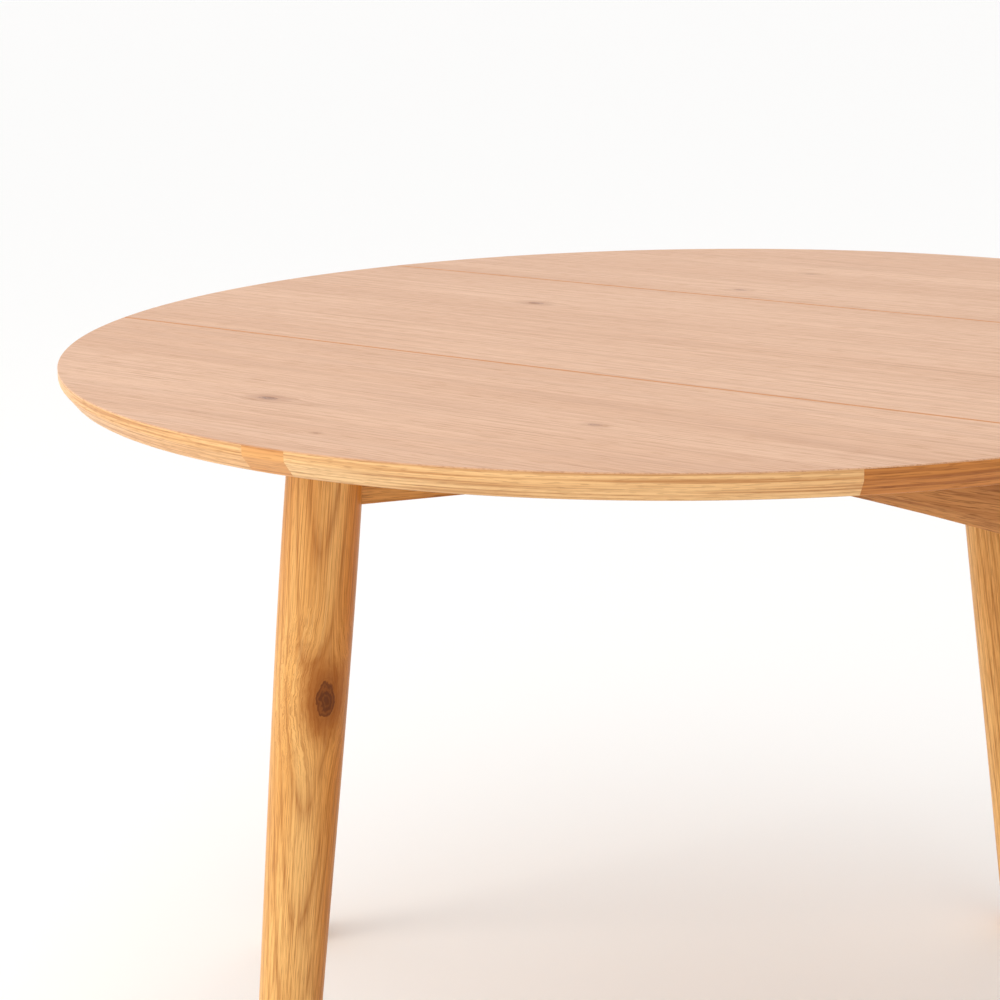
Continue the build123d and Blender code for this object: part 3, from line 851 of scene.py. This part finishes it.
# ---------------------------------------------------------------- CAD nodes that keep their shape
class CadDressing:
    """Finishes for the CAD nodes whose shape is already right."""

    RULES = (
        ("gate_arm", Finish.ARM),
        ("end_rail", Finish.CROSS_RAIL),
        ("leg_block", Finish.BEECH),
        ("gate_stop", Finish.BEECH),
        ("dowels", Finish.BEECH),
        ("core", Finish.CORE),
        ("rail", Finish.RAIL),
        ("hinge_pins", Finish.PIN_STEEL),
        ("gate_pin", Finish.PIN_STEEL),
        ("gate_pad", Finish.FELT),
        ("washers", Finish.NYLON),
        ("screws", Finish.PIN_STEEL),
        ("bolts", Finish.PIN_STEEL),
        ("hinge", Finish.ZINC),
        ("bracket", Finish.ZINC),
    )

    def dress(self, nodes: dict) -> None:
        """Give each shown CAD node the finish of the first rule that its name holds."""
        for name, made in sorted(nodes.items()):
            finish = next((f for key, f in self.RULES if key in name), None)
            if finish is None or made.hide_render:
                continue
            made.data.materials.clear()
            made.data.materials.append(finish.material())
            LOG.info("%s keeps its shape, %s", name, finish.name.lower())


# ---------------------------------------------------------------- studio
@dataclass(frozen=True)
class Softbox:
    """One rectangular light: where it hangs, what it looks at, its size in metres and its power in watts."""

    name: str
    place: tuple[float, float, float]
    target: tuple[float, float, float]
    size: tuple[float, float]
    power: float
    colour: str


@dataclass
class Studio:
    """Pale sweep, soft overhead and side light, and the camera."""

    camera_place: tuple[float, float, float] = (1.4102, -2.0232, 1.1718)
    heading: float = 39.23         # degrees; 0 looks along +Y
    pitch: float = 13.267          # degrees down
    roll: float = 1.367            # degrees clockwise
    focal: float = 93.6            # mm
    sensor: float = 36.0           # mm
    sight: float = 200.0           # metres
    floor_reach: float = 60.0      # metres, enough to fill every view
    air_strength: float = 1.2
    air_dimming: tuple[float, float] = (0.25, 0.8)   # sideways share of a direction where it starts and ends
    softboxes: tuple[Softbox, ...] = (
        Softbox("overhead_softbox", (0.3, -0.4, 3.2), (0.0, 0.0, 0.7), (3.0, 3.0), 3.0, "fffaf4"),
        Softbox("left_softbox", (-2.2, -2.6, 1.9), (-0.1, -0.3, 0.5), (1.6, 2.0), 32.0, "fff6ea"),
    )

    def camera(self) -> None:
        """Place the camera with its right, up and back directions written out."""
        a, p, r = (math.radians(v) for v in (self.heading, self.pitch, self.roll))
        forward = np.array([-math.sin(a) * math.cos(p), math.cos(a) * math.cos(p), -math.sin(p)])
        level = np.array([math.cos(a), math.sin(a), 0.0])
        down = np.cross(forward, level)
        right = math.cos(r) * level + math.sin(r) * down
        up = -(math.cos(r) * down - math.sin(r) * level)
        frame = np.eye(4)
        frame[:3, 0], frame[:3, 1], frame[:3, 2], frame[:3, 3] = right, up, -forward, self.camera_place
        lens = bpy.data.cameras.new("studio_camera")
        lens.lens, lens.sensor_width = self.focal, self.sensor
        lens.clip_end = self.sight
        made = bpy.data.objects.new("studio_camera", lens)
        made.matrix_world = Matrix(frame.tolist())
        bpy.context.scene.collection.objects.link(made)
        bpy.context.scene.camera = made

    def hang(self, box: Softbox) -> None:
        """Hang one softbox, level along its width."""
        lamp = bpy.data.lights.new(box.name, "AREA")
        lamp.shape, lamp.size, lamp.size_y = "RECTANGLE", box.size[0], box.size[1]
        lamp.energy, lamp.color = box.power, linear(box.colour)[:3]
        made = bpy.data.objects.new(box.name, lamp)
        back = np.array(box.place) - np.array(box.target)
        back /= np.linalg.norm(back)
        side = np.cross((0.0, 0.0, 1.0), back)
        side /= np.linalg.norm(side)
        frame = np.eye(4)
        frame[:3, 0], frame[:3, 1], frame[:3, 2], frame[:3, 3] = side, np.cross(back, side), back, box.place
        made.matrix_world = Matrix(frame.tolist())
        bpy.context.scene.collection.objects.link(made)

    def floor(self) -> None:
        """Lay a pale floor."""
        square = [(-1.0, -1.0, 0.0), (1.0, -1.0, 0.0), (1.0, 1.0, 0.0), (-1.0, 1.0, 0.0)]
        corners = self.floor_reach * np.array(square)
        made = build_mesh("studio_floor", corners, [[0, 1, 2, 3]], None, 30.0)
        p = Pattern("matt_white_paper")
        p.shader.inputs["Base Color"].default_value = linear("fbfbfa")
        p.shader.inputs["Roughness"].default_value = 0.9
        p.shader.inputs["Specular IOR Level"].default_value = 0.1
        made.data.materials.append(p.material)
        made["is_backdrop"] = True

    def air(self) -> None:
        """Fill the studio with soft light: bright on the camera's left, dimmer and cooler on its right.

        The backdrop itself is seen as plain white from every side.
        """
        world = bpy.data.worlds.new("studio_air")
        world.use_nodes = True
        tree = world.node_tree
        background = tree.nodes["Background"]
        way = tree.nodes.new("ShaderNodeTexCoord")
        side = tree.nodes.new("ShaderNodeVectorMath")
        side.operation = "DOT_PRODUCT"
        a = math.radians(self.heading)
        side.inputs[1].default_value = (math.cos(a), math.sin(a), 0.0)
        ease = tree.nodes.new("ShaderNodeMapRange")
        ease.interpolation_type = "SMOOTHSTEP"
        ease.inputs[1].default_value, ease.inputs[2].default_value = self.air_dimming
        blend = tree.nodes.new("ShaderNodeMix")
        blend.data_type = "RGBA"
        blend.inputs[6].default_value, blend.inputs[7].default_value = linear("ffffff"), linear("6a6062")
        tree.links.new(way.outputs["Generated"], side.inputs[0])
        tree.links.new(side.outputs["Value"], ease.inputs[0])
        tree.links.new(ease.outputs[0], blend.inputs[0])
        sight = tree.nodes.new("ShaderNodeLightPath")
        seen = tree.nodes.new("ShaderNodeMix")
        seen.data_type = "RGBA"
        seen.inputs[7].default_value = linear("ffffff")
        tree.links.new(sight.outputs["Is Camera Ray"], seen.inputs[0])
        tree.links.new(blend.outputs[2], seen.inputs[6])
        tree.links.new(seen.outputs[2], background.inputs[0])
        background.inputs[1].default_value = self.air_strength
        bpy.context.scene.world = world

    def build(self) -> None:
        """Set up camera, floor and light."""
        self.camera()
        self.floor()
        self.air()
        bpy.context.scene.view_settings.view_transform = "Standard"
        for box in self.softboxes:
            self.hang(box)


def main() -> None:
    """Build the table piece by piece in the studio."""
    logging.basicConfig(level=logging.INFO, format="%(message)s")
    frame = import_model()
    cad_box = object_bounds()
    Studio().build()
    core_low, core_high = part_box("centre_board_core")
    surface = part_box("centre_board_veneer")[1][2]
    leaf_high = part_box("front_leaf_core")[1]
    pivot_low, pivot_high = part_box("front_gate_pin")
    top = RoundTop(
        radius=cad_box[1][0],
        underside=core_low[2],
        surface=surface,
        board_edge=core_high[1],
        leaf_edge=-leaf_high[1],
    )
    top.build()
    pivot = tuple((pivot_low[i] + pivot_high[i]) / 2 for i in range(2))
    Legs(
        underside=core_low[2],
        block_bottom=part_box("right_leg_block")[0][2],
        gate_leg_top=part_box("front_gate_leg")[1][2],
        pivot=pivot,
    ).build()
    CadDressing().dress(frame["nodes"])


if __name__ == "__main__":
    main()
